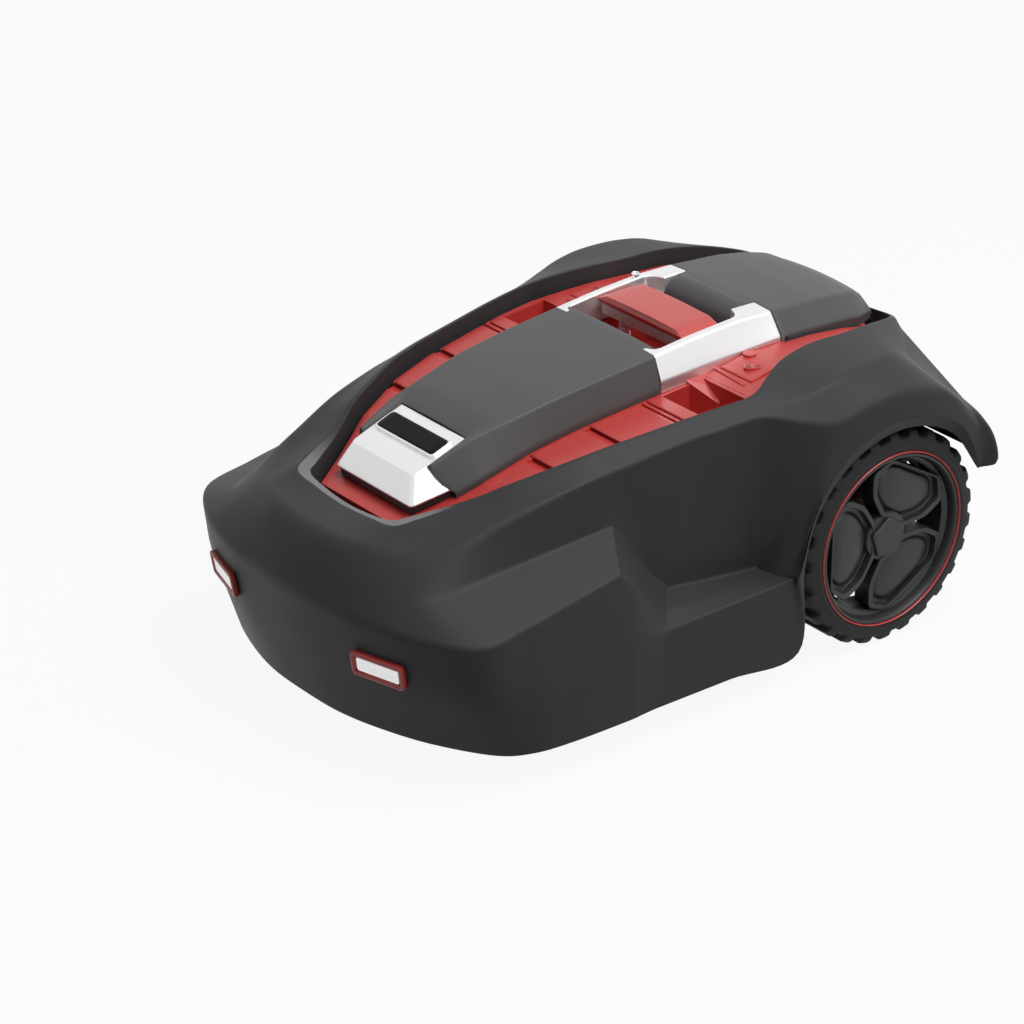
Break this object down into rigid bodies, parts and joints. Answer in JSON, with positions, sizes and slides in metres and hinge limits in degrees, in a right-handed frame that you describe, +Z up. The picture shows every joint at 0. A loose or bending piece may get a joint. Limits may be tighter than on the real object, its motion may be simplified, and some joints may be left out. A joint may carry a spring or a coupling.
{
  "type": "robotic lawn mower",
  "caption": "Robotic lawn mower with a floating shell, driven rear wheels, swivel front casters, a height-adjustable blade disc, a stop bar and a hinged lid over its control panel.",
  "frame": {"origin": "centre of the bounding box at ground level", "axes": "front is -Y, the mower's left side is +X, +Z is up"},
  "size_m": [0.4062, 0.6, 0.2745],
  "materials": {
    "shell_plastic": "satin charcoal, fine grain",
    "cover_plastic": "satin mid-grey",
    "red_plastic": "glossy red",
    "silver_plastic": "silver-white, satin gloss",
    "white_plastic": "white",
    "green_plastic": "green",
    "black_plastic": "black, fine grain",
    "badge_black": "glossy black, blank",
    "wheel_plastic": "satin near-black",
    "tyre_rubber": "dull black rubber",
    "post_rubber": "dull black rubber",
    "steel": "bright steel",
    "contact_metal": "plain metal strip",
    "motor_metal": "dull metal can",
    "sensor_chrome": "polished",
    "display_glass": "dark window",
    "carriage_plastic": "dark grey",
    "disc_plastic": "orange"
  },
  "bodies": {
    "chassis": {"lower_chassis": "black_plastic", "upper_chassis": "red_plastic", "deck_tray": "red_plastic", "side_trays": "red_plastic", "shell_posts": "post_rubber", "chassis_screws": "steel", "battery_pack": "black_plastic", "battery_cover": "black_plastic", "battery_screws": "steel", "control_box": "black_plastic", "drive_motor_left": "motor_metal", "drive_motor_right": "motor_metal", "guide_posts": "steel", "front_cover": "cover_plastic", "nose_piece": "silver_plastic", "badge_plate": "badge_black", "mid_frame": "silver_plastic", "rain_sensor": "sensor_chrome", "control_panel": "black_plastic", "display_window": "display_glass", "stop_springs": "steel"},
    "shell": {"outer_shell": "shell_plastic", "shell_cups": "shell_plastic", "contact_frames": "red_plastic", "contact_plates": "contact_metal"},
    "stop_button": {"stop_bar": "red_plastic", "stop_grip": "white_plastic"},
    "lid": {"rear_lid": "cover_plastic", "lid_pins": "steel"},
    "power_key": {"key_power": "red_plastic"},
    "start_key": {"key_start": "green_plastic"},
    "home_key": {"key_home": "white_plastic"},
    "ok_key": {"key_ok": "white_plastic"},
    "height_adjuster": {"height_knob": "black_plastic", "height_screw": "steel"},
    "cutter": {"cutter_carriage": "carriage_plastic", "blade_motor": "motor_metal"},
    "disc": {"motor_shaft": "steel", "blade_disc": "disc_plastic", "blade_screws": "steel"},
    "blade_a": {"blade_1": "steel"},
    "blade_b": {"blade_2": "steel"},
    "blade_c": {"blade_3": "steel"},
    "wheel_left": {"tyre_left": "tyre_rubber", "ring_left": "red_plastic", "rim_left": "wheel_plastic", "hub_cap_left": "black_plastic", "drive_shaft_left": "steel"},
    "fork_left": {"caster_fork_left": "black_plastic", "caster_axle_left": "steel"},
    "caster_left": {"caster_wheel_left": "tyre_rubber"},
    "wheel_right": {"tyre_right": "tyre_rubber", "ring_right": "red_plastic", "rim_right": "wheel_plastic", "hub_cap_right": "black_plastic", "drive_shaft_right": "steel"},
    "fork_right": {"caster_fork_right": "black_plastic", "caster_axle_right": "steel"},
    "caster_right": {"caster_wheel_right": "tyre_rubber"}
  },
  "joints": [
    {"name": "shell_bump", "type": "slide", "parent": "chassis", "child": "shell", "axis": [0, 1, 0], "range_m": [-0.005, 0.005], "stiffness_N_per_m": 2000},
    {"name": "stop_press", "type": "slide", "parent": "chassis", "child": "stop_button", "axis": [0, 0, -1], "range_m": [0, 0.003], "stiffness_N_per_m": 1500, "springref_m": -0.002, "deforming": ["stop_springs"]},
    {"name": "lid_hinge", "type": "hinge", "parent": "chassis", "child": "lid", "pos_m": [0, 0.14, 0.262], "axis": [1, 0, 0], "range_deg": [0, 80]},
    {"name": "power_key_press", "type": "slide", "parent": "chassis", "child": "power_key", "axis": [0, 0, -1], "range_m": [0, 0.001], "stiffness_N_per_m": 400, "springref_m": -0.001},
    {"name": "start_key_press", "type": "slide", "parent": "chassis", "child": "start_key", "axis": [0, 0, -1], "range_m": [0, 0.001], "stiffness_N_per_m": 400, "springref_m": -0.001},
    {"name": "home_key_press", "type": "slide", "parent": "chassis", "child": "home_key", "axis": [0, 0, -1], "range_m": [0, 0.001], "stiffness_N_per_m": 400, "springref_m": -0.001},
    {"name": "ok_key_press", "type": "slide", "parent": "chassis", "child": "ok_key", "axis": [0, 0, -1], "range_m": [0, 0.001], "stiffness_N_per_m": 400, "springref_m": -0.001},
    {"name": "height_turn", "type": "hinge", "parent": "chassis", "child": "height_adjuster", "pos_m": [0, 0.192, 0.24], "axis": [0, 0, 1], "range_deg": [0, 300]},
    {"name": "cutter_travel", "type": "slide", "parent": "chassis", "child": "cutter", "axis": [0, 0, -1], "range_m": [0, 0.036]},
    {"name": "disc_spin", "type": "hinge", "parent": "cutter", "child": "disc", "pos_m": [0, 0.025, 0.06], "axis": [0, 0, 1], "continuous": true},
    {"name": "blade_a_pivot", "type": "hinge", "parent": "disc", "child": "blade_a", "pos_m": [0, 0.1, 0.055], "axis": [0, 0, 1], "continuous": true},
    {"name": "blade_b_pivot", "type": "hinge", "parent": "disc", "child": "blade_b", "pos_m": [-0.06495, -0.0125, 0.055], "axis": [0, 0, 1], "continuous": true},
    {"name": "blade_c_pivot", "type": "hinge", "parent": "disc", "child": "blade_c", "pos_m": [0.06495, -0.0125, 0.055], "axis": [0, 0, 1], "continuous": true},
    {"name": "wheel_left_spin", "type": "hinge", "parent": "chassis", "child": "wheel_left", "pos_m": [0.17, 0.189, 0.097], "axis": [1, 0, 0], "continuous": true},
    {"name": "caster_left_swivel", "type": "hinge", "parent": "chassis", "child": "fork_left", "pos_m": [0.095, -0.195, 0.08], "axis": [0, 0, 1], "continuous": true},
    {"name": "caster_left_roll", "type": "hinge", "parent": "fork_left", "child": "caster_left", "pos_m": [0.095, -0.177, 0.03], "axis": [1, 0, 0], "continuous": true},
    {"name": "wheel_right_spin", "type": "hinge", "parent": "chassis", "child": "wheel_right", "pos_m": [-0.17, 0.189, 0.097], "axis": [1, 0, 0], "continuous": true},
    {"name": "caster_right_swivel", "type": "hinge", "parent": "chassis", "child": "fork_right", "pos_m": [-0.095, -0.195, 0.08], "axis": [0, 0, 1], "continuous": true},
    {"name": "caster_right_roll", "type": "hinge", "parent": "fork_right", "child": "caster_right", "pos_m": [-0.095, -0.177, 0.03], "axis": [1, 0, 0], "continuous": true}
  ],
  "couplings": [
    {"joint": "height_turn", "follows": "cutter_travel", "rad_per_m": 145.44}
  ]
}
